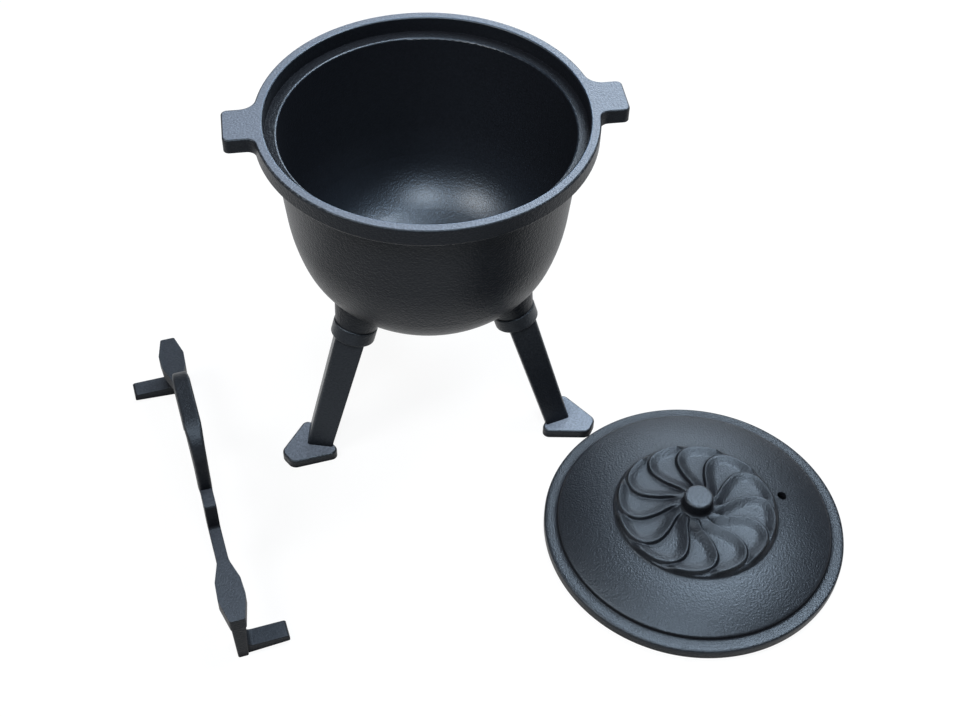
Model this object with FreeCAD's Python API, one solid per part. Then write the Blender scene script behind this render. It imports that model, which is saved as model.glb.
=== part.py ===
"""Camp dutch oven: a cast-iron pot on three bolted legs, its loose lid and its clamp bar.

Sizes are in millimetres. +Z is up, the origin is on the pot's axis at floor level and +X runs
through the right lug. The pot stands on its legs. The lid lies knob up on the floor at the
front right, and the clamp bar stands on its hooks at the front left.
"""
import FreeCAD
import Part
import math
import os

os.makedirs("parts", exist_ok=True)
V = FreeCAD.Vector
UP = V(0, 0, 1)
ORIGIN = V(0, 0, 0)

# Pot body: a straight leaning wall, then tangent arcs down to the middle of the bottom.
RIM_R = 140.0
RIM_DEEP = 16.3
RIM_WIDE = 8.5
SEAT_R = RIM_R - RIM_WIDE
SEAT_DEEP = 14.0
WALL = 5.0
RIM_OVERHANG = 13.6
BODY_TOP_R = RIM_R - RIM_OVERHANG
WALL_LEAN = 5.2
WALL_LONG = 75.3
SHOULDER_ARC = (187.0, 18.1)
HEEL_ARC = (74.5, 60.0)
EDGE = 1.6
UNDER_EDGE = 2.5

# Lugs at the rim, set a little behind the middle, which the clamp bar hooks under.
LUG_LONG = 24.0
LUG_REACH = RIM_R + LUG_LONG
LUG_HALF = 19.5
LUG_BACK = 4.0
LUG_THICK = 13.0
LUG_CORNER = 5.0
LUG_FRONT_FILLET = 8.0
LUG_BACK_FILLET = 14.0

# Leg joints: each leg's axis leans outward and meets its boss here, face to face.
LEG_TURNS = {"leg_left": 211.7, "leg_right": 328.3, "leg_rear": 90.0}
LEG_LEAN = 20.0
JOINT_R = 81.0
JOINT_Z = 129.5
BOSS_R = 18.8
BOSS_BASE_R = 31.0
BOSS_LONG = 46.0
BASE_BELOW_JOINT = 6.5

# Leg shank: (ridge radius, flange end radius, flange end half width) at its top and foot.
COLLAR_R = 19.6
COLLAR_LONG = 14.0
ANGLE_THICK = 7.0
ANGLE_TOP = (103.4, 85.6, 19.9)
ANGLE_TOP_BELOW_JOINT = 4.0
ANGLE_FOOT = (144.5, 129.0, 17.0)
ANGLE_EDGES = [3.0, 1.5, 1.5, 4.0, 1.5, 1.5]
FOOT_THICK = 9.0
FOOT_INNER_R = 124.0
FOOT_OUTER_R = 166.0
FOOT_HALF = 26.5
FOOT_NOSE_HALF = 8.5
FOOT_CORNERS = [6.0, 8.0, 8.0, 6.0]

# Threaded stud of each joint, drawn at its thread's outer size.
STUD_R = 6.0
STUD_GAP = 0.05
STUD_IN_BOSS = 12.0
STUD_END_GAP = 2.0

# Lid: its ring drops into the seat with this clearance all round.
LID_GAP = 0.5
LID_R = SEAT_R - LID_GAP
LID_RING_WIDE = 10.4
LID_RING_IN = LID_R - LID_RING_WIDE
LID_RING_THICK = 11.0
ROSETTE_FOOT_R = 71.0
LID_DOME = ((LID_RING_IN - 2.2, 15.0), (0.8 * LID_RING_IN, 22.6), (ROSETTE_FOOT_R, 27.5))
LID_UNDER = ((LID_RING_IN - 5.6, 7.0), (ROSETTE_FOOT_R, 21.5), (0.0, 28.5))
ROSETTE_R = 66.0
ROSETTE_RIM_Z = 34.5
ROSETTE_MID_Z = 37.0
ROSETTE_EDGE = 2.0
KNOB_R = 12.75
KNOB_TOP = 49.0
KNOB_ROOT = 3.0
VENT_R = 3.75
VENT_AT = 80.0
VENT_TURN = 5.0

# The lid lies beyond the right foot's nose, this far from it and this much to its side.
LID_STAND_OFF = 7.9
LID_SIDE = -30.2

# Rosette: petals cut into the raised disc, each with a ridge along this polar curve.
PETALS = 12
PETAL_DEEP = 3.9
PETAL_LIP = 0.25
PETAL_SHARE = 0.93
PETAL_STEPS = 12
PETAL_LOW_AT = 0.55
PETAL_FROM = 15.5
PETAL_TO = 63.5
RIDGE = ((15.0, -99.0), (23.0, -97.0), (34.0, -86.0), (48.0, -84.0), (56.0, -87.5),
         (60.0, -93.0), (63.5, -106.0))

# Clamp bar: arms with leaf-shaped ends, posts and hooks, and a raised middle with a handle.
BAR_FROM_LUG = 50.6
BAR_FORWARD = 128.3
BAR_CENTRE = V(-LUG_REACH - BAR_FROM_LUG, -BAR_FORWARD, 0)
BAR_TURN = 99.43
HOOK_GAP = 0.5
HOOK_IN = RIM_R + HOOK_GAP
POST_DEEP = 19.0
POST_TAPER = 1.5
BAR_HALF = HOOK_IN + POST_DEEP
HOOK_TIP = 39.5
HOOK_LONG = 15.5
HOOK_TALL = 10.0
HOOK_RISE = 3.0
HOOK_ROOT = 6.0
ARM_TOP = 60.0
ARM_THICK = 13.0
ARM_HALF = 4.9
LEAF_LONG = 56.0
LEAF_HALF = 11.4
LEAF_WIDE_FROM = 38.0
LEAF_WIDE_TO = 22.0
LEAF_DROP = 4.5
TIP_HALF = 6.3
POST_FOOT_HALF = 4.4
BRIDGE_TOP = 88.0
BRIDGE_THICK = 16.0
BRIDGE_HALF_LONG = 68.0
HANDLE_HALF_LONG = 50.0
HANDLE_TOP = 146.0
HANDLE_THICK = 11.0
HANDLE_LEAN = 4.0
HANDLE_BEND = 29.0
HANDLE_HALF = 7.1
HANDLE_EDGE = 2.2
PRESS_R = 4.5


def polar(r, degrees, z=0.0):
    """The point at radius r and this turn about +Z."""
    turn = math.radians(degrees)
    return V(r * math.cos(turn), r * math.sin(turn), z)


def rounded_wire(points, radii):
    """A closed flat wire through the points, its corners rounded to the radii."""
    edges = []
    starts = []
    ends = []
    count = len(points)
    for i in range(count):
        corner = points[i]
        back = (points[i - 1] - corner).normalize()
        ahead = (points[(i + 1) % count] - corner).normalize()
        half = 0.5 * back.getAngle(ahead)
        run = radii[i] / math.tan(half)
        starts.append(corner + back * run)
        ends.append(corner + ahead * run)
        if radii[i] > 0:
            middle = (back + ahead).normalize()
            centre = corner + middle * (radii[i] / math.sin(half))
            edges.append(Part.Arc(starts[i], centre - middle * radii[i], ends[i]).toShape())
    for i in range(count):
        edges.append(Part.LineSegment(ends[i], starts[(i + 1) % count]).toShape())
    return Part.Wire(Part.__sortEdges__(edges))


def prism(points, radii, low, high):
    """An upright prism on (x, y) corners rounded to the radii."""
    wire = rounded_wire([V(x, y, low) for x, y in points], radii)
    return Part.Face(wire).extrude(V(0, 0, high - low))


def body_arcs(inset):
    """The body's outline below the rim, as arcs of three points, set in by this much.

    It is reckoned down from the rim's underside at z = 0, and ends on the axis.
    """
    angle = math.radians(WALL_LEAN)
    point = V(BODY_TOP_R - WALL_LONG * math.sin(angle), 0, -WALL_LONG * math.cos(angle))
    arcs = []
    for radius, to_degrees in (SHOULDER_ARC, HEEL_ARC, (None, 90.0)):
        turn = math.radians(to_degrees)
        if radius is None:
            radius = point.x / math.cos(angle)
        centre = point - V(math.cos(angle), 0, -math.sin(angle)) * radius
        arc = []
        for a in (angle, 0.5 * (angle + turn), turn):
            arc.append(centre + V(math.cos(a), 0, -math.sin(a)) * (radius - inset))
        arcs.append(arc)
        point = centre + V(math.cos(turn), 0, -math.sin(turn)) * radius
        angle = turn
    arcs[-1][2].x = 0
    return arcs


def rim_low():
    """The height of the rim's underside: the body's bottom hangs just under the leg joints."""
    return JOINT_Z - BASE_BELOW_JOINT - body_arcs(0)[-1][2].z


def rim_top():
    """The height of the rim's top face."""
    return rim_low() + RIM_DEEP


def body_core(inset):
    """The solid inside the pot's outer skin, set in by this much and closed inside the rim."""
    lift = V(0, 0, rim_low())
    arcs = [[p + lift for p in arc] for arc in body_arcs(inset)]
    edges = [Part.Arc(arc[0], arc[1], arc[2]).toShape() for arc in arcs]
    first = arcs[0][0]
    closed_z = rim_top() - 0.5 * SEAT_DEEP
    high = V(first.x + (closed_z - first.z) * math.tan(math.radians(WALL_LEAN)), 0, closed_z)
    closing = [arcs[-1][2], V(0, 0, closed_z), high, first]
    for i in range(3):
        edges.append(Part.LineSegment(closing[i], closing[i + 1]).toShape())
    wire = Part.Wire(Part.__sortEdges__(edges))
    return Part.Face(wire).revolve(ORIGIN, UP, 360)


def lug_side(side, fillet):
    """One side of the right lug: its fillet into the rim, its straight edge and its corner.

    side is +1 or -1 for the back or the front. Returns the edges from the rim outward and the
    first and last points.
    """
    edge_y = LUG_BACK + side * LUG_HALF
    centre_y = edge_y + side * fillet
    centre = V(math.sqrt((RIM_R + fillet) ** 2 - centre_y ** 2), centre_y, 0)
    touch = centre * (RIM_R / (RIM_R + fillet))
    start = V(centre.x, edge_y, 0)
    middle = centre + (touch + start - centre * 2).normalize() * fillet
    before = V(LUG_REACH - LUG_CORNER, edge_y, 0)
    after = V(LUG_REACH, edge_y - side * LUG_CORNER, 0)
    corner = V(before.x, after.y, 0) + V(1, side, 0).normalize() * LUG_CORNER
    edges = [Part.Arc(touch, middle, start).toShape(), Part.LineSegment(start, before).toShape(),
             Part.Arc(before, corner, after).toShape()]
    return edges, touch, after


def rim_plan():
    """The rim's outline seen from above: a circle with a blended, round-cornered lug on each side."""
    back, back_touch, back_end = lug_side(1, LUG_BACK_FILLET)
    front, front_touch, front_end = lug_side(-1, LUG_FRONT_FILLET)
    edges = back + front + [Part.LineSegment(front_end, back_end).toShape()]
    mirror = FreeCAD.Matrix()
    mirror.scale(-1, 1, 1)
    for edge in list(edges):
        edges.append(edge.transformGeometry(mirror))
    for touch, middle_y in ((back_touch, RIM_R), (front_touch, -RIM_R)):
        edges.append(Part.Arc(touch, V(0, middle_y, 0), V(-touch.x, touch.y, 0)).toShape())
    wire = Part.Wire(Part.__sortEdges__(edges))
    wire.translate(V(0, 0, rim_top() - LUG_THICK))
    return wire


def ring_edges(solid, z, r_low, r_high):
    """The flat edges at height z that reach out to a radius between these two."""
    found = []
    for edge in solid.Edges:
        box = edge.BoundBox
        middle = edge.valueAt(0.5 * (edge.FirstParameter + edge.LastParameter))
        r = math.hypot(middle.x, middle.y)
        if box.ZLength < 0.01 and abs(box.ZMin - z) < 0.01 and r_low < r < r_high:
            found.append(edge)
    return found


def leg_place(turn):
    """The placement from a leg's own frame, with +X outward, to its place under the pot."""
    return FreeCAD.Placement(ORIGIN, FreeCAD.Rotation(UP, turn))


def leg_axis():
    """The joint's centre and the leg's direction away from the pot, in the leg's own frame."""
    lean = math.radians(LEG_LEAN)
    return V(JOINT_R, 0, JOINT_Z), V(math.sin(lean), 0, -math.cos(lean))


def boss():
    """The conical boss that one leg is bolted to, in the leg's own frame."""
    joint, away = leg_axis()
    return Part.makeCone(BOSS_R, BOSS_BASE_R, BOSS_LONG, joint, away * -1)


def pot():
    """The pot: body, rim with the lid's seat, two lugs and three drilled leg bosses."""
    low = rim_low()
    high = rim_top()
    seat_low = high - SEAT_DEEP
    plate = Part.Face(rim_plan()).extrude(V(0, 0, LUG_THICK))
    band = Part.makeCylinder(RIM_R, RIM_DEEP - LUG_THICK, V(0, 0, low))
    solid = body_core(0).fuse([plate, band])
    joint, away = leg_axis()
    for turn in LEG_TURNS.values():
        stub = boss()
        stub.Placement = leg_place(turn).multiply(stub.Placement)
        solid = solid.fuse(stub)
    solid = solid.cut(body_core(WALL))
    solid = solid.cut(Part.makeCylinder(SEAT_R, SEAT_DEEP + 1, V(0, 0, seat_low))).removeSplitter()
    solid = solid.makeFillet(UNDER_EDGE, ring_edges(solid, low, RIM_R - 1, RIM_R + 1))
    solid = solid.makeFillet(EDGE, ring_edges(solid, high, RIM_R - 1, LUG_REACH + 1))
    solid = solid.makeFillet(EDGE, ring_edges(solid, high, SEAT_R - 1, SEAT_R + 1))
    solid = solid.makeFillet(EDGE, ring_edges(solid, seat_low, SEAT_R - 15, SEAT_R - 5))
    for turn in LEG_TURNS.values():
        hole = Part.makeCylinder(STUD_R + STUD_GAP, STUD_IN_BOSS + STUD_END_GAP, joint, away * -1)
        hole.Placement = leg_place(turn).multiply(hole.Placement)
        solid = solid.cut(hole)
    return solid


def angle_section(sizes, z):
    """The leg's V section at one height: ridge outward, flanges swept back."""
    ridge, back, half = sizes
    flange = V(back - ridge, half, 0).normalize()
    inward = V(-flange.y, flange.x, 0)
    end = V(back, half, z)
    inner = end + inward * ANGLE_THICK
    root = inner - flange * (inner.y / flange.y)
    points = [V(ridge, 0, z), end, inner, root, V(inner.x, -inner.y, z), V(back, -half, z)]
    return rounded_wire(points, ANGLE_EDGES)


def leg():
    """One leg: drilled collar, V-shaped shank and three-cornered foot, cast in one."""
    joint, away = leg_axis()
    shank = Part.makeLoft([angle_section(ANGLE_TOP, JOINT_Z - ANGLE_TOP_BELOW_JOINT),
                           angle_section(ANGLE_FOOT, 0.5 * FOOT_THICK)], True, True)
    collar = Part.makeCylinder(COLLAR_R, COLLAR_LONG, joint, away)
    collar = collar.makeFillet(EDGE, [e for e in collar.Edges if len(e.Vertexes) == 1])
    foot = prism([(FOOT_INNER_R, -FOOT_HALF), (FOOT_OUTER_R, -FOOT_NOSE_HALF),
                  (FOOT_OUTER_R, FOOT_NOSE_HALF), (FOOT_INNER_R, FOOT_HALF)],
                 FOOT_CORNERS, 0, FOOT_THICK)
    foot = foot.makeFillet(2.0, [e for e in foot.Edges if e.BoundBox.ZMin > FOOT_THICK - 0.01])
    solid = collar.fuse(shank).fuse(foot)
    bore = Part.makeCylinder(STUD_R + STUD_GAP, COLLAR_LONG + 30, joint - away, away)
    return solid.cut(bore).removeSplitter()


def stud():
    """The threaded stud of one joint, seated in the boss and flush under the collar."""
    joint, away = leg_axis()
    start = joint - away * STUD_IN_BOSS
    return Part.makeCylinder(STUD_R, STUD_IN_BOSS + COLLAR_LONG, start, away)


def ridge_turn(r):
    """The ridge line's turn in degrees at radius r, smoothed between the stated points."""
    for i in range(len(RIDGE) - 1):
        if r <= RIDGE[i + 1][0]:
            break
    before = RIDGE[max(i - 1, 0)]
    here = RIDGE[i]
    there = RIDGE[i + 1]
    after = RIDGE[min(i + 2, len(RIDGE) - 1)]
    span = there[0] - here[0]
    t = (r - here[0]) / span
    slope_here = (there[1] - before[1]) / (there[0] - before[0])
    slope_there = (after[1] - here[1]) / (after[0] - here[0])
    return ((2 * t ** 3 - 3 * t ** 2 + 1) * here[1] + (t ** 3 - 2 * t ** 2 + t) * span * slope_here
            + (3 * t ** 2 - 2 * t ** 3) * there[1] + (t ** 3 - t ** 2) * span * slope_there)


def petal_cutter():
    """The tool for one petal: a dished spline sheet that follows the ridge, swept upward."""
    rows = []
    pitch = 360.0 / PETALS
    for i in range(PETAL_STEPS + 1):
        u = i / PETAL_STEPS
        r = PETAL_FROM + (PETAL_TO - PETAL_FROM) * u
        top = ROSETTE_MID_Z + (ROSETTE_RIM_Z - ROSETTE_MID_Z) * r / ROSETTE_R
        deep = (PETAL_DEEP + PETAL_LIP) * min(1.0, 2.6 * u) ** 0.8 * min(1.0, 7.0 * (1 - u)) ** 0.7
        row = []
        for j in range(8):
            v = PETAL_SHARE * j / 7.0
            dish = math.sin(math.pi * min(1.0, v / PETAL_LOW_AT) / 2) ** 1.5
            if v > PETAL_LOW_AT:
                dish = 1.0 - 0.25 * ((v - PETAL_LOW_AT) / (1 - PETAL_LOW_AT)) ** 2
            row.append(polar(r, ridge_turn(r) - v * pitch, top + PETAL_LIP - deep * dish))
        rows.append(row)
    sheet = Part.BSplineSurface()
    knots = []
    mults = []
    for count in (len(rows), len(rows[0])):
        spans = count - 3
        knots.append([k / spans for k in range(spans + 1)])
        mults.append([4] + [1] * (spans - 1) + [4])
    sheet.buildFromPolesMultsKnots(rows, mults[0], mults[1], knots[0], knots[1], False, False, 3, 3)
    return sheet.toShape().extrude(V(0, 0, KNOB_TOP - ROSETTE_RIM_Z))


def lid():
    """The lid: flat ring, low dome, raised rosette with a knob, and a steam hole."""
    dome = [V(r, 0, z) for r, z in LID_DOME]
    under = [V(r, 0, z) for r, z in LID_UNDER]
    ring = rounded_wire([V(LID_RING_IN - 8, 0, 0), V(LID_R, 0, 0), V(LID_R, 0, LID_RING_THICK),
                         V(LID_RING_IN - 8, 0, LID_RING_THICK)], [0, 2.5, EDGE, 0])
    solid = Part.Face(ring).revolve(ORIGIN, UP, 360)
    ring_top = V(LID_RING_IN, 0, LID_RING_THICK - 0.5)
    shoulder = V(ROSETTE_R, 0, ROSETTE_RIM_Z)
    peak = V(0, 0, ROSETTE_MID_Z)
    low = V(LID_RING_IN, 0, 0)
    outline = [Part.Arc(dome[0], dome[1], dome[2]).toShape()]
    path = [dome[2], shoulder, peak, ORIGIN, low, ring_top, dome[0]]
    for i in range(len(path) - 1):
        outline.append(Part.LineSegment(path[i], path[i + 1]).toShape())
    solid = solid.fuse(Part.Face(Part.Wire(outline)).revolve(ORIGIN, UP, 360))
    edges = []
    for edge in solid.Edges:
        box = edge.BoundBox
        if box.ZLength < 0.01 and abs(box.XMax - ROSETTE_R) < 0.1:
            edges.append(edge)
    solid = solid.makeFillet(ROSETTE_EDGE, edges)
    cutters = []
    for i in range(PETALS):
        cutters.append(petal_cutter())
        cutters[i].rotate(ORIGIN, UP, i * 360.0 / PETALS)
    solid = solid.cut(cutters)
    root_z = LID_UNDER[2][1] + KNOB_ROOT
    knob = Part.makeCylinder(KNOB_R, KNOB_TOP - root_z, V(0, 0, root_z))
    knob = knob.makeFillet(EDGE, [e for e in knob.Edges if e.BoundBox.ZMin > KNOB_TOP - 0.01])
    solid = solid.fuse(knob)
    hollow = [Part.Arc(under[0], under[1], under[2]).toShape()]
    foot = V(under[0].x + 2, 0, 0)
    path = [under[2], ORIGIN, foot, under[0]]
    for i in range(len(path) - 1):
        hollow.append(Part.LineSegment(path[i], path[i + 1]).toShape())
    solid = solid.cut(Part.Face(Part.Wire(hollow)).revolve(ORIGIN, UP, 360))
    vent = Part.makeCylinder(VENT_R, KNOB_TOP, polar(VENT_AT, VENT_TURN))
    solid = solid.cut(vent).removeSplitter()
    nose = polar(FOOT_OUTER_R, LEG_TURNS["leg_right"])
    solid.translate(nose + polar(LID_R + LID_STAND_OFF, LEG_TURNS["leg_right"] + LID_SIDE))
    return solid


def along_bar(s, z):
    """The point at s along the bar from its middle and height z, in the bar's own frame."""
    return V(s, 0, z)


def bar_strap():
    """The bar's strap: its side view cut to its plan, with the raised middle and the leaves."""
    tip_z = ARM_TOP - LEAF_DROP
    neck = BAR_HALF - LEAF_LONG
    past = BAR_HALF + 2
    half_side = [(BRIDGE_HALF_LONG, BRIDGE_TOP), (BRIDGE_HALF_LONG + 1, ARM_TOP), (neck, ARM_TOP),
                 (past, tip_z), (past, tip_z - ARM_THICK), (neck, ARM_TOP - ARM_THICK),
                 (BRIDGE_HALF_LONG - BRIDGE_THICK, ARM_TOP - ARM_THICK),
                 (BRIDGE_HALF_LONG - 1.5 * BRIDGE_THICK, BRIDGE_TOP - BRIDGE_THICK)]
    half_radii = [3, 4, 20, 0, 0, 20, 5, 5]
    side = half_side + [(-s, z) for s, z in reversed(half_side)]
    wire = rounded_wire([along_bar(s, z) for s, z in side], half_radii + half_radii[::-1])
    wire.translate(V(0, -2 * LEAF_HALF, 0))
    strip = Part.Face(wire).extrude(V(0, 4 * LEAF_HALF, 0))
    quarter = [(neck, ARM_HALF), (BAR_HALF - LEAF_WIDE_FROM, LEAF_HALF - 0.9),
               (BAR_HALF - LEAF_WIDE_TO, LEAF_HALF),
               (BAR_HALF, TIP_HALF)]
    quarter_radii = [25, 12, 8, 2]
    plan = quarter + [(s, -t) for s, t in reversed(quarter)]
    radii = quarter_radii + quarter_radii[::-1]
    plan = plan + [(-s, -t) for s, t in plan]
    return strip.common(prism(plan, radii * 2, 0, HANDLE_TOP))


def bar_handle():
    """The arched grip on the raised middle, widest across its top."""
    sections = []
    base = BRIDGE_TOP - 0.5 * BRIDGE_THICK
    for inset in (0, HANDLE_THICK):
        foot = HANDLE_HALF_LONG - inset
        top = HANDLE_TOP - inset
        points = [along_bar(-foot, base), along_bar(-foot + HANDLE_LEAN, top),
                  along_bar(foot - HANDLE_LEAN, top), along_bar(foot, base)]
        bend = HANDLE_BEND - inset
        wire = rounded_wire(points, [0, bend, bend, 0])
        wire.translate(V(0, -2 * HANDLE_HALF, 0))
        sections.append(Part.Face(wire).extrude(V(0, 4 * HANDLE_HALF, 0)))
    bow = sections[0].cut(sections[1])
    wide = 0.5 * HANDLE_HALF_LONG
    plan = [(wide, HANDLE_HALF), (HANDLE_HALF_LONG + 1, ARM_HALF), (HANDLE_HALF_LONG + 1, -ARM_HALF),
            (wide, -HANDLE_HALF), (-wide, -HANDLE_HALF), (-HANDLE_HALF_LONG - 1, -ARM_HALF),
            (-HANDLE_HALF_LONG - 1, ARM_HALF), (-wide, HANDLE_HALF)]
    bow = bow.common(prism(plan, [30, 0, 0, 30, 30, 0, 0, 30], 0, HANDLE_TOP + 1))
    return bow.makeFillet(HANDLE_EDGE, [e for e in bow.Edges if abs(e.CenterOfMass.y) > 1])


def bar_end():
    """One end's post, narrowing to the floor, and the hook that reaches out sideways from it."""
    tip_z = ARM_TOP - LEAF_DROP
    levels = []
    for z, half, inset in ((0, POST_FOOT_HALF, POST_TAPER), (tip_z - ARM_THICK / 3, TIP_HALF, 0)):
        corners = [(HOOK_IN + inset, -half), (BAR_HALF - inset, -half), (BAR_HALF - inset, half),
                   (HOOK_IN + inset, half)]
        levels.append(rounded_wire([V(s, t, z) for s, t in corners], [EDGE] * 4))
    post = Part.makeLoft(levels, True, True)
    reach = [(0, 0), (HOOK_TIP, HOOK_RISE), (HOOK_TIP, HOOK_TALL), (0.2 * HOOK_TIP, HOOK_TALL),
             (0, HOOK_TALL + HOOK_ROOT)]
    wire = rounded_wire([V(HOOK_IN, t, z) for t, z in reach], [0, 1.5, 2.5, 8, 0])
    return post.fuse(Part.Face(wire).extrude(V(HOOK_LONG, 0, 0)))


def clamp_bar():
    """The clamp bar: strap, handle, pressing boss and two ends turned half a turn apart."""
    press_low = HOOK_TALL + LUG_THICK + KNOB_TOP - SEAT_DEEP
    press = Part.makeCylinder(PRESS_R, BRIDGE_TOP - 2 - press_low, V(0, 0, press_low))
    other = bar_end()
    other.rotate(ORIGIN, UP, 180)
    solid = bar_strap().fuse([bar_handle(), press, bar_end(), other]).removeSplitter()
    solid.rotate(ORIGIN, UP, BAR_TURN)
    solid.translate(BAR_CENTRE)
    return solid


def main():
    """Build every piece and write one file for each."""
    parts = {"pot": pot(), "lid": lid(), "clamp_bar": clamp_bar()}
    one_leg = leg()
    one_stud = stud()
    for name, turn in LEG_TURNS.items():
        for label, shape in ((name, one_leg), (name.replace("leg", "stud"), one_stud)):
            placed = shape.copy()
            placed.Placement = leg_place(turn).multiply(placed.Placement)
            parts[label] = placed
    for name, shape in parts.items():
        shape.exportStep("parts/" + name + ".step")
        print(name, shape.isValid(), len(shape.Solids), round(shape.Volume / 1000.0, 1))


main()
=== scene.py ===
"""Camp dutch oven with its lid and clamp bar laid out beside it, on a white studio floor."""
import math

import bpy
import numpy as np
from mathutils import Matrix, Vector


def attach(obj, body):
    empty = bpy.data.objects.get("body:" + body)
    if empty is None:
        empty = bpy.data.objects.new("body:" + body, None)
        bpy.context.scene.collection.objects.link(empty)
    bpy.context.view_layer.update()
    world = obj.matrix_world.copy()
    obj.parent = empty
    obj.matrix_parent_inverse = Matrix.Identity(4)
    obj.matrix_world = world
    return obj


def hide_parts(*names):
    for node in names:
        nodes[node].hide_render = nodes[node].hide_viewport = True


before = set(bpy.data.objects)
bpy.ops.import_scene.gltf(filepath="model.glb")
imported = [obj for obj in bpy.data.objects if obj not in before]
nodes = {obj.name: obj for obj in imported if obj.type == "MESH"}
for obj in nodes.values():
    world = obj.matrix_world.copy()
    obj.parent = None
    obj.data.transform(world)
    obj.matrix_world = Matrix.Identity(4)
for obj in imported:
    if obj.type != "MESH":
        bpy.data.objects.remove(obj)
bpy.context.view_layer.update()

# Camera. It stands over the front left of the pot and looks down on it, with a 55 mm lens on a
# 36 mm sensor, and is turned a little about its own axis.
CAMERA_PLACE = (-0.11386, -0.94465, 1.06314)
HEADING = math.radians(10.158)
PITCH = math.radians(47.436)
ROLL = math.radians(1.960)
camera_data = bpy.data.cameras.new("camera")
camera_data.sensor_width = 36.0
camera_data.lens = 54.905
camera = bpy.data.objects.new("camera", camera_data)
bpy.context.scene.collection.objects.link(camera)
bpy.context.scene.camera = camera
ahead = Vector((math.sin(HEADING) * math.cos(PITCH), math.cos(HEADING) * math.cos(PITCH),
                -math.sin(PITCH)))
level = Vector((math.cos(HEADING), -math.sin(HEADING), 0))
above = level.cross(ahead)
right = level * math.cos(ROLL) + above * math.sin(ROLL)
above = above * math.cos(ROLL) - level * math.sin(ROLL)
turn = Matrix((right, above, -ahead)).transposed().to_4x4()
camera.matrix_world = Matrix.Translation(CAMERA_PLACE) @ turn


def shader_node(tree, kind, inputs, **settings):
    """Adds a shader node, whose inputs are each a plain value or an output to link."""
    node = tree.nodes.new("ShaderNode" + kind)
    for name, value in settings.items():
        setattr(node, name, value)
    for key, value in inputs.items():
        if isinstance(value, bpy.types.NodeSocket):
            tree.links.new(value, node.inputs[key])
        else:
            node.inputs[key].default_value = value
    return node


# Floor. A white paper sheet that keeps the object's shadow. To the camera, and in metal's
# reflections, it reads as white, while it throws little light on the object from below.
FLOOR_REACH = 6.0
FLOOR_WHITE = 0.9
floor_mesh = bpy.data.meshes.new("floor")
floor_mesh.from_pydata([(-FLOOR_REACH, -FLOOR_REACH, 0), (FLOOR_REACH, -FLOOR_REACH, 0),
                        (FLOOR_REACH, FLOOR_REACH, 0), (-FLOOR_REACH, FLOOR_REACH, 0)],
                       [], [(0, 1, 2, 3)])
floor = bpy.data.objects.new("floor", floor_mesh)
bpy.context.scene.collection.objects.link(floor)
paper = bpy.data.materials.new("floor_paper")
paper.use_nodes = True
floor_mesh.materials.append(paper)
path = shader_node(paper.node_tree, "LightPath", {}).outputs
shiny = shader_node(paper.node_tree, "Math", {0: path["Is Glossy Ray"],
                                              1: path["Is Transmission Ray"]},
                    operation="MAXIMUM")
seen = shader_node(paper.node_tree, "Math", {0: path["Is Camera Ray"], 1: shiny.outputs[0]},
                   operation="MAXIMUM")
lift = shader_node(paper.node_tree, "Math", {0: seen.outputs[0], 1: FLOOR_WHITE},
                   operation="MULTIPLY")
paper_bsdf = paper.node_tree.nodes["Principled BSDF"]
paper_bsdf.inputs["Base Color"].default_value = (0.12, 0.12, 0.12, 1)
paper_bsdf.inputs["Roughness"].default_value = 0.9
paper_bsdf.inputs["Specular IOR Level"].default_value = 0.0
paper_bsdf.inputs["Emission Color"].default_value = (1, 1, 1, 1)
paper.node_tree.links.new(lift.outputs[0], paper_bsdf.inputs["Emission Strength"])


def area_light(name, place, aim, size, power, color):
    """A soft rectangular lamp at place, aimed at a point."""
    data = bpy.data.lights.new(name, "AREA")
    data.shape = "RECTANGLE"
    data.size, data.size_y = size
    data.energy = power
    data.color = color
    light = bpy.data.objects.new(name, data)
    bpy.context.scene.collection.objects.link(light)
    light.location = place
    light.rotation_mode = "QUATERNION"
    light.rotation_quaternion = (Vector(aim) - Vector(place)).to_track_quat("-Z", "Y")


# Lamps. Three cool soft lamps hang high at the back right, overhead toward the camera and low
# at the back, and a neutral one at the left. The room is dim, so that walls that face the
# camera stay nearly black.
COOL = (0.84, 0.92, 1.0)
NEUTRAL = (0.95, 0.95, 0.95)
area_light("back_right", (0.75, 0.40, 1.95), (0.1, -0.1, 0.15), (0.9, 0.7), 31, COOL)
area_light("ceiling", (-0.03, -0.95, 1.9), (0.0, 0.05, 0.15), (0.6, 0.7), 19, COOL)
area_light("back", (0.75, 1.65, 1.15), (0.15, -0.15, 0.15), (1.1, 0.7), 15, COOL)
area_light("left", (-1.1, -0.4, 1.5), (0.0, -0.05, 0.1), (0.6, 0.6), 15, NEUTRAL)
world = bpy.data.worlds.new("room")
bpy.context.scene.world = world
world.use_nodes = True
room = world.node_tree.nodes["Background"]
room.inputs["Color"].default_value = (0.9, 0.95, 1.0, 1)
room.inputs["Strength"].default_value = 0.05


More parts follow.
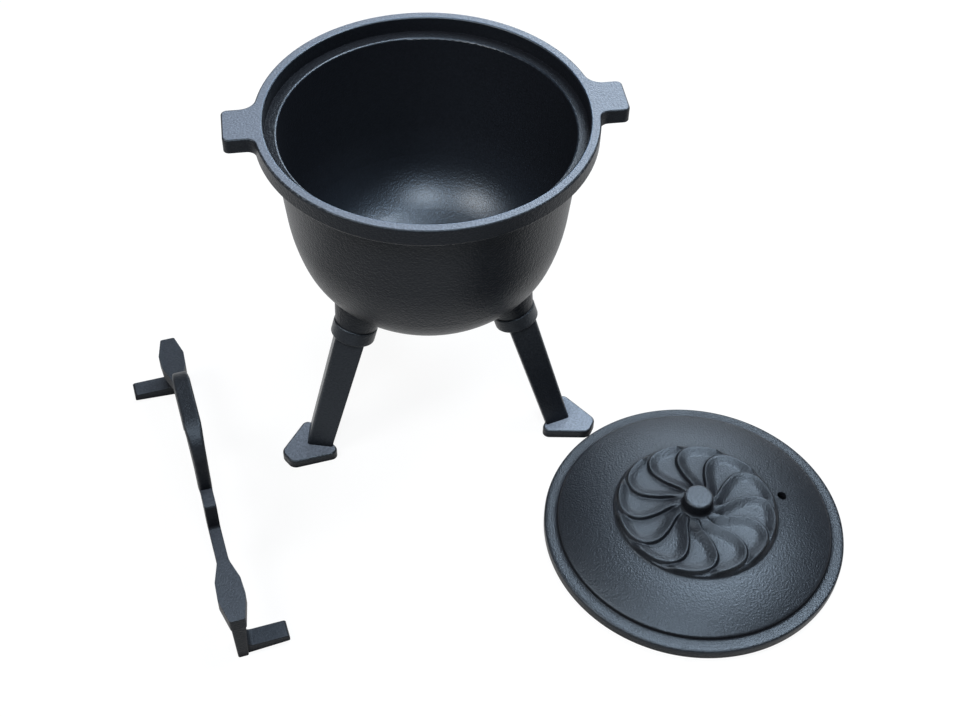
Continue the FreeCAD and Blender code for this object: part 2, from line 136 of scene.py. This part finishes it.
def skin_group():
    """The skin of a seasoned casting: its colour, its sand-cast relief and its glaze.

    Level faces between the heights Low and High (m) are lit grey-blue by a painted highlight, in
    the share that the third input gives. Peel is the strength of the oil skin's broad swell, and
    Glaze the coat on faces that turn inward to the pot's axis, which is full on level faces and
    a quarter of that on upright ones, where the cut is painted shade.
    """
    group = bpy.data.node_groups.new("seasoned_skin", "ShaderNodeTree")
    for name in ("Low", "High", "Painted Highlight", "Peel", "Glaze"):
        group.interface.new_socket(name, in_out="INPUT", socket_type="NodeSocketFloat")
    group.interface.new_socket("Colour", in_out="OUTPUT", socket_type="NodeSocketColor")
    group.interface.new_socket("Relief", in_out="OUTPUT", socket_type="NodeSocketVector")
    group.interface.new_socket("Coat", in_out="OUTPUT", socket_type="NodeSocketFloat")
    given = group.nodes.new("NodeGroupInput").outputs
    result = group.nodes.new("NodeGroupOutput")

    def node(kind, inputs, output, **settings):
        return shader_node(group, kind, inputs, **settings).outputs[output]

    def product(first, second):
        return node("Math", {0: first, 1: second}, 0, operation="MULTIPLY")

    where = node("TexCoord", {}, "Object")
    height = node("SeparateXYZ", {0: where}, "Z")
    facing = node("NewGeometry", {}, "Normal")
    upward = node("SeparateXYZ", {0: facing}, "Z")

    sand = node("TexNoise", {"Vector": where, "Scale": 620.0, "Detail": 3}, "Fac")
    swell = node("TexNoise", {"Vector": where, "Scale": 310.0, "Detail": 1}, "Fac")
    edge = node("Bevel", {"Radius": 0.0012}, "Normal", samples=4)
    broad = node("Bump", {"Strength": given["Peel"], "Distance": 0.0016, "Height": swell,
                          "Normal": edge}, "Normal")
    fine = node("Bump", {"Strength": 0.5, "Distance": 0.0008, "Height": sand,
                         "Normal": broad}, "Normal")

    # Painted highlight: level faces within the heights Low to High are lit grey-blue.
    flat = node("MapRange", {"Value": upward, "From Min": 0.93, "From Max": 0.995}, "Result")
    above_low = node("Math", {0: height, 1: given["Low"]}, 0, operation="GREATER_THAN")
    below_high = node("Math", {0: height, 1: given["High"]}, 0, operation="LESS_THAN")
    top_highlight = product(product(product(above_low, below_high), flat), given["Painted Highlight"])
    color = node("Mix", {"Factor": top_highlight, "A": (0.011, 0.012, 0.015, 1),
                         "B": (0.180, 0.205, 0.250, 1)}, "Result", data_type="RGBA")
    speckle = node("MapRange", {"Value": sand, "From Min": 0.3, "From Max": 0.7,
                                "To Min": 0.75, "To Max": 1.25}, "Result")
    tint = node("VectorMath", {0: color, "Scale": speckle}, "Vector", operation="SCALE")

    to_axis = node("VectorMath", {0: where, 1: (-1, -1, 0)}, "Vector", operation="MULTIPLY")
    inward = node("VectorMath", {0: to_axis, 1: facing}, "Value", operation="DOT_PRODUCT")
    inside = node("MapRange", {"Value": inward, "From Min": 0.0, "From Max": 0.004,
                               "To Max": given["Glaze"]}, "Result")
    # Painted shade: the coat falls to a quarter on upright faces.
    share = node("MapRange", {"Value": upward, "From Min": 0.15, "From Max": 0.65,
                              "To Min": 0.25, "To Max": 1.0}, "Result")

    group.links.new(tint, result.inputs["Colour"])
    group.links.new(fine, result.inputs["Relief"])
    group.links.new(product(inside, share), result.inputs["Coat"])
    return group


def cast_iron(name, low, high, painted_highlight, roughness=0.36, sheen=0.6, peel=0.0, glaze=0.0):
    """Seasoned cast iron, whose sheen is cut as painted shade on upright faces and in narrow
    recesses.
    """
    material = bpy.data.materials.new(name)
    material.use_nodes = True
    tree = material.node_tree
    skin = shader_node(tree, "Group", {}, node_tree=SKIN)
    for key, value in (("Low", low), ("High", high), ("Painted Highlight", painted_highlight), ("Peel", peel),
                       ("Glaze", glaze)):
        skin.inputs[key].default_value = value
    facing = shader_node(tree, "NewGeometry", {}).outputs["Normal"]
    upward = shader_node(tree, "SeparateXYZ", {0: facing}).outputs["Z"]
    # Painted shade: the sheen falls to a quarter on upright faces.
    upright_shade = shader_node(tree, "MapRange", {"Value": upward, "From Min": 0.15, "From Max": 0.65,
                                          "To Min": 0.25 * sheen, "To Max": sheen})
    # Painted shade: ambient occlusion cuts the sheen to 0.12 in narrow recesses.
    nook = shader_node(tree, "AmbientOcclusion", {"Distance": 0.010}, samples=6)
    recess_shade = shader_node(tree, "MapRange", {"Value": nook.outputs["AO"], "From Min": 0.55,
                                           "From Max": 0.95, "To Min": 0.12})
    shine = shader_node(tree, "Math", {0: upright_shade.outputs["Result"], 1: recess_shade.outputs["Result"]},
                        operation="MULTIPLY")
    bsdf = tree.nodes["Principled BSDF"]
    bsdf.inputs["Roughness"].default_value = roughness
    bsdf.inputs["Specular Tint"].default_value = (0.74, 0.87, 1.0, 1)
    bsdf.inputs["Coat Roughness"].default_value = 0.37
    bsdf.inputs["Coat Tint"].default_value = (0.72, 0.86, 1.0, 1)
    tree.links.new(shine.outputs["Value"], bsdf.inputs["Specular IOR Level"])
    tree.links.new(skin.outputs["Colour"], bsdf.inputs["Base Color"])
    tree.links.new(skin.outputs["Relief"], bsdf.inputs["Normal"])
    tree.links.new(skin.outputs["Coat"], bsdf.inputs["Coat Weight"])
    return material


def dress(node, material):
    """Gives every material slot of a CAD node this material."""
    for slot in nodes[node].material_slots:
        slot.material = material


# Pot. A sand casting of iron with its lugs and leg bosses, oiled and baked black. The level
# face of the rim and the lugs carries a painted grey-blue highlight, and the inside has a
# thicker, glossier skin.
SKIN = skin_group()
dress("pot", cast_iron("pot_iron", 0.311, 0.330, 0.75, peel=0.16, glaze=1.0))

# Legs. Three iron castings with a collar, a V-shaped shank and a flat foot, each held under its
# boss by a threaded steel stud. The tops of the feet carry a painted grey-blue highlight. The
# studs don't show.
for leg in ("leg_left", "leg_right", "leg_rear"):
    dress(leg, cast_iron(leg + "_iron", 0.005, 0.012, 0.95, sheen=0.9))
for stud in ("stud_left", "stud_right", "stud_rear"):
    dress(stud, cast_iron(stud + "_steel", 0.0, 0.1, 0.0))

# Clamp bar. One iron casting that hooks under the lugs and holds the lid shut. Its skin is
# duller than the pot's, and its level faces carry only a faint painted highlight.
dress("clamp_bar", cast_iron("bar_iron", 0.005, 0.100, 0.15, roughness=0.45, sheen=0.5))

# Lid. A single iron casting that lies on the floor beside the pot: a flat ring, a low dome, a
# raised rosette of swirled petals with a knob in the middle, and a steam hole. This skin keeps
# the CAD lid's outline and gives the petals their sharp crests and curled ends. In millimetres.
LID_CENTRE = (0.2066, -0.2098)
LID_TURNS = 480
ROSETTE_TOP = 37.0
ROSETTE_FALL = 2.5 / 66.0
PETAL_TURN = 30.0
PETAL_FROM = 14.0
VENT_R = 3.75
VENT_SNAP = 4.4
VENT_AT = 80.0 * np.exp(1j * math.radians(5.0))
VENT_SIDES = 40
# One petal's crest, from the knob outward, as (radius, turn in degrees).
CREST = np.array([(14.0, -103.0), (18.0, -99.5), (23.0, -96.5), (28.0, -91.0), (34.0, -86.5),
                  (41.0, -84.5), (48.0, -84.0), (54.0, -85.5), (58.0, -88.0), (61.0, -90.5),
                  (63.5, -93.5), (65.5, -97.5), (67.0, -103.0), (68.0, -111.0), (68.4, -119.0)])


def smooth(t):
    """An ease from 0 to 1: 3 t^2 - 2 t^3, held at the ends."""
    t = np.clip(t, 0.0, 1.0)
    return t * t * (3.0 - 2.0 * t)


def crest_line(count=300, reach=12):
    """The crest through CREST at even steps of its length, each a mean over its neighbours."""
    radii, turns = CREST.T
    steps = np.hypot(np.diff(radii), np.radians(np.diff(turns)) * radii[1:])
    length = np.concatenate([[0], np.cumsum(steps)])
    along = np.linspace(0, length[-1], count)
    soft = np.ones(2 * reach + 1) / (2 * reach + 1)
    return [np.convolve(np.pad(np.interp(along, length, v), reach, "edge"), soft, "valid")
            for v in (radii, turns)]


def petal_depth(r, turn):
    """How far the petals lie under the disc's top at radius r and turn (degrees).

    Going clockwise from a crest, the petal dips by smooth(0.08 + 0.92 d / 10)^0.7 into a dish,
    where d is the distance to that crest, and it rises again within 2.2 mm of the next one.
    """
    radii, turns = crest_line()
    own_turn = np.interp(r, radii, turns)
    slot = np.mod(own_turn - turn, PETAL_TURN)
    here = r * np.exp(1j * np.radians(own_turn - slot))
    own = radii * np.exp(1j * np.radians(turns))
    following = own * np.exp(-1j * np.radians(PETAL_TURN))
    behind = np.abs(here[..., None] - own).min(-1)
    before = np.abs(here[..., None] - following).min(-1)
    dish = smooth(0.08 + 0.92 * behind / 10.0) ** 0.7 * smooth(before / 2.2)
    share = behind / (behind + before + 1e-6)
    grow = smooth((r - 13.0) / 11.0)
    return (2.6 + 1.2 * share) * dish * grow


def lid_rows():
    """The lid's turned outline as (radius, height, share of the petals), from knob to underside.

    The dome falls by 7.2 t + 5.3 t^2, and its underside rises by 21.5 (1 - (1 - t)^2.4).
    """
    knob = [(0.0, 49.0, 0), (5.0, 49.0, 0), (9.5, 49.0, 0), (11.2, 48.9, 0), (12.1, 48.4, 0),
            (12.6, 47.6, 0), (12.75, 46.5, 0), (12.75, 40.0, 0), (12.9, 38.2, 0),
            (13.6, 37.0, 0)]
    r = np.arange(14.4, 68.3, 0.56)
    rosette = np.stack([r, ROSETTE_TOP - ROSETTE_FALL * r, np.ones_like(r)], -1)
    rosette_side = [(68.6, 34.2, 1), (69.1, 33.7, 1), (69.4, 33.0, 0.8), (69.8, 31.0, 0.3),
                    (70.4, 28.8, 0), (71.0, 27.8, 0), (72.0, 27.35, 0)]
    t = np.linspace(0.03, 1.0, 40)
    dome = np.stack([71.0 + 47.4 * t, 27.5 - 7.2 * t - 5.3 * t * t, 0 * t], -1)
    ring = [(119.0, 14.6, 0), (119.3, 13.8, 0), (119.5, 12.2, 0), (119.9, 11.4, 0),
            (120.8, 11.05, 0), (123.0, 11.0, 0), (126.5, 11.0, 0), (129.2, 11.0, 0),
            (130.2, 10.7, 0), (130.8, 10.1, 0), (131.0, 9.2, 0), (131.0, 2.5, 0),
            (130.6, 1.1, 0), (129.9, 0.4, 0), (128.5, 0.0, 0), (117.0, 0.0, 0), (115.0, 7.0, 0)]
    t = np.linspace(0.05, 1.0, 20)
    under = np.stack([115.0 * (1 - t), 7.0 + 21.5 * (1 - (1 - t) ** 2.4), 0 * t], -1)
    return np.concatenate([knob, rosette, rosette_side, dome, ring, under])


def lid_skin():
    """The lid as a turned grid: x, y = r cos a, r sin a and z = outline - share * petal depth.

    The grid's points near the steam hole are drawn onto its circle, the faces inside it are
    left out, and a short tube lines it.
    """
    rows = lid_rows()
    a = np.arange(LID_TURNS) * 360.0 / LID_TURNS + 0 * rows[:, :1]
    r = rows[:, :1] + 0 * a
    z = rows[:, 1:2] - rows[:, 2:3] * petal_depth(np.maximum(r, PETAL_FROM), a)
    off = r * np.exp(1j * np.radians(a)) - VENT_AT
    reach = np.abs(off)
    snapped = (reach < VENT_SNAP) & (reach > 0.01)
    off = np.where(snapped, off * VENT_R / np.maximum(reach, 0.01), off)
    points = np.stack([(VENT_AT + off).real, (VENT_AT + off).imag, z], -1).reshape(-1, 3)
    i, j = np.indices((len(rows) - 1, LID_TURNS))
    k = (j + 1) % LID_TURNS
    faces = np.stack([i * LID_TURNS + j, (i + 1) * LID_TURNS + j, (i + 1) * LID_TURNS + k,
                      i * LID_TURNS + k], -1).reshape(-1, 4)
    open_air = (reach < VENT_SNAP).reshape(-1)
    faces = faces[~open_air[faces].all(-1)]
    ring = VENT_AT + VENT_R * np.exp(2j * math.pi * np.arange(VENT_SIDES) / VENT_SIDES)
    tube = [np.stack([ring.real, ring.imag, height + 0 * ring.real], -1)
            for height in (26.6, 16.0)]
    j = len(points) + np.arange(VENT_SIDES)
    k = len(points) + (np.arange(VENT_SIDES) + 1) % VENT_SIDES
    lining = np.stack([j, k, VENT_SIDES + k, VENT_SIDES + j], -1)
    points = np.concatenate([points] + tube) / 1000.0 + (*LID_CENTRE, 0.0)
    return points, np.concatenate([faces, lining])


lid_points, lid_faces = lid_skin()
lid_mesh = bpy.data.meshes.new("lid_casting")
lid_mesh.from_pydata(lid_points.tolist(), [], lid_faces.tolist())
lid_mesh.shade_smooth()
# The flat top of the knob carries a faint painted highlight.
lid_mesh.materials.append(cast_iron("lid_iron", 0.0455, 0.060, 0.12, sheen=0.7))
lid = bpy.data.objects.new("lid_casting", lid_mesh)
bpy.context.scene.collection.objects.link(lid)
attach(lid, "root")
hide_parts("lid")

bpy.context.scene.view_settings.view_transform = "Standard"
